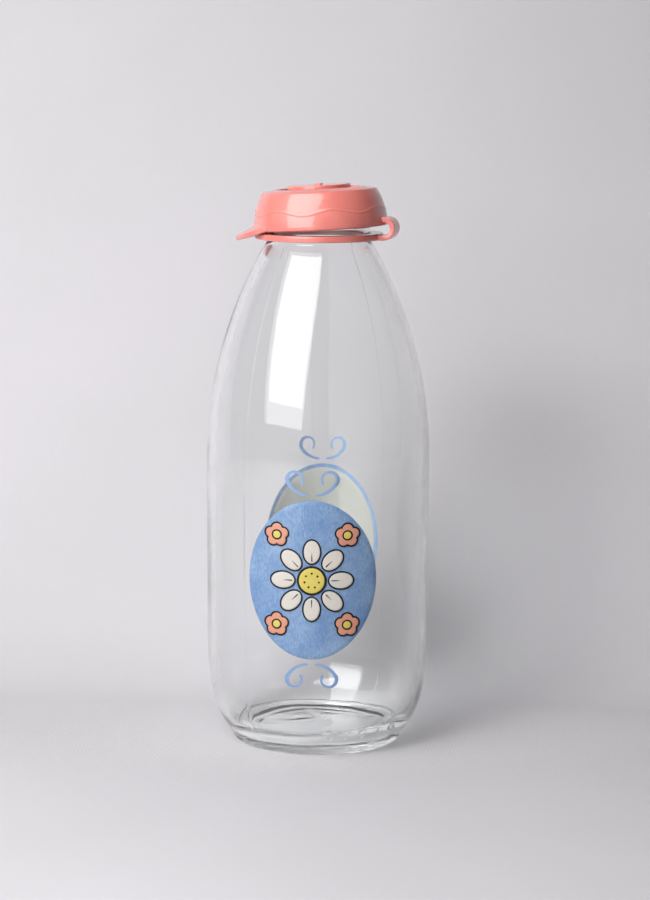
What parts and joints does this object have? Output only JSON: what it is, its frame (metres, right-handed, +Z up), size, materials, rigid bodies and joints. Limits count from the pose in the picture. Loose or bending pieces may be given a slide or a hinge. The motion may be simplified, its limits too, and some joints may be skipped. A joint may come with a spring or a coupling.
{
  "type": "glass milk bottle",
  "caption": "Clear glass milk bottle with one-arc shoulder, printed oval on two sides and a tethered snap cap whose loop hinge swings it off the mouth",
  "frame": {"origin": "centre of the foot, on the plane the bottle stands on", "axes": "+Z up along the bottle's axis, -Y through the middle of the front print, +X to the right seen from the front"},
  "size_m": [0.094, 0.095, 0.2354],
  "materials": {
    "clear_glass": "clear blown glass, faint green tint in the foot",
    "coral_plastic": "soft moulded plastic with a satin gloss",
    "white_ink": "screen-printed ink",
    "blue_ink": "screen-printed ink",
    "pink_ink": "screen-printed ink",
    "yellow_ink": "screen-printed ink",
    "dark_ink": "screen-printed ink",
    "light_blue_ink": "screen-printed ink"
  },
  "bodies": {
    "bottle": {"glass_bottle": "clear_glass", "front_white_backing": "white_ink", "front_blue_ground": "blue_ink", "front_white_petals": "white_ink", "front_pink_blossoms": "pink_ink", "front_yellow_eyes": "yellow_ink", "front_dark_outlines": "dark_ink", "front_upper_scroll": "light_blue_ink", "front_lower_scroll": "light_blue_ink", "back_white_backing": "white_ink", "back_blue_ground": "blue_ink", "back_white_petals": "white_ink", "back_pink_blossoms": "pink_ink", "back_yellow_eyes": "yellow_ink", "back_dark_outlines": "dark_ink", "back_upper_scroll": "light_blue_ink", "back_lower_scroll": "light_blue_ink"},
    "collar": {"neck_ring": "coral_plastic", "hinge_strap": "coral_plastic"},
    "cap": {"cap_shell": "coral_plastic"}
  },
  "joints": [
    {"name": "collar_swivel", "type": "hinge", "parent": "bottle", "child": "collar", "pos_m": [0, 0, 0.21334], "axis": [0, 0, 1], "continuous": true},
    {"name": "cap_hinge", "type": "hinge", "parent": "collar", "child": "cap", "pos_m": [0.03298, -0.00701, 0.21718], "axis": [0.2079, 0.9781, 0], "range_deg": [0, 165], "deforming": ["hinge_strap"]}
  ]
}
